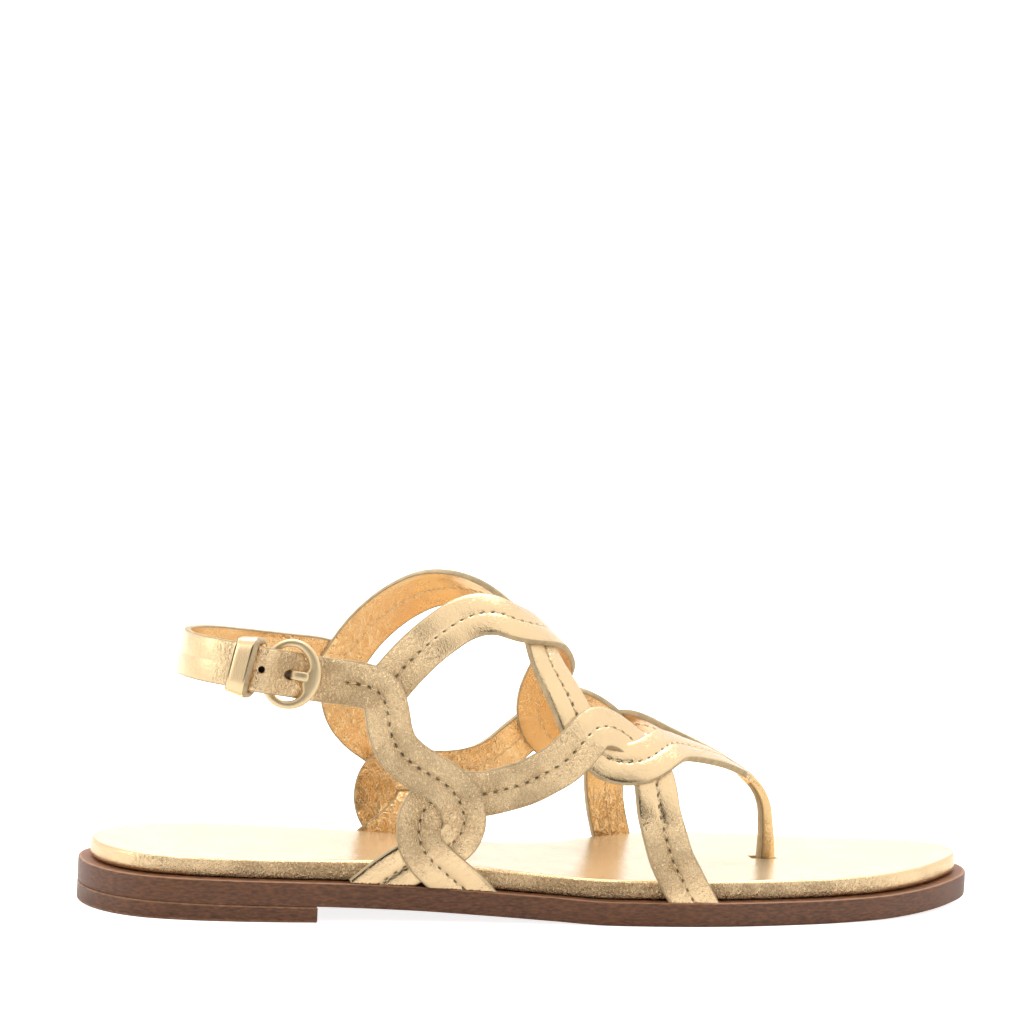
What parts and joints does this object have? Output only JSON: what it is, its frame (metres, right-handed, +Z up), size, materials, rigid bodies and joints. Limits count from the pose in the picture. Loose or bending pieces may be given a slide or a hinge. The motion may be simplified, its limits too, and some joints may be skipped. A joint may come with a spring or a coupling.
{
  "type": "toe post sandal",
  "caption": "Flat toe post sandal with braided leather straps, a buckled ankle strap and a stacked leather sole.",
  "frame": {"origin": "on the floor, halfway along and halfway across the shoe", "axes": "+X from heel to toe, +Y to the inner side of the foot, +Z up"},
  "size_m": [0.2492, 0.0791, 0.0898],
  "materials": {
    "outsole": "satin",
    "heel_lift": "satin",
    "footbed": "metallic foil",
    "straps": "metallic foil",
    "toe_post": "satin",
    "keeper": "metallic foil",
    "buckle": "polished"
  },
  "bodies": {
    "root": {"outsole": "outsole", "heel_lift": "heel_lift", "footbed": "footbed", "upper": "straps", "toe_post": "toe_post", "keeper": "keeper", "buckle_ring": "buckle", "buckle_prong": "buckle"}
  },
  "joints": []
}
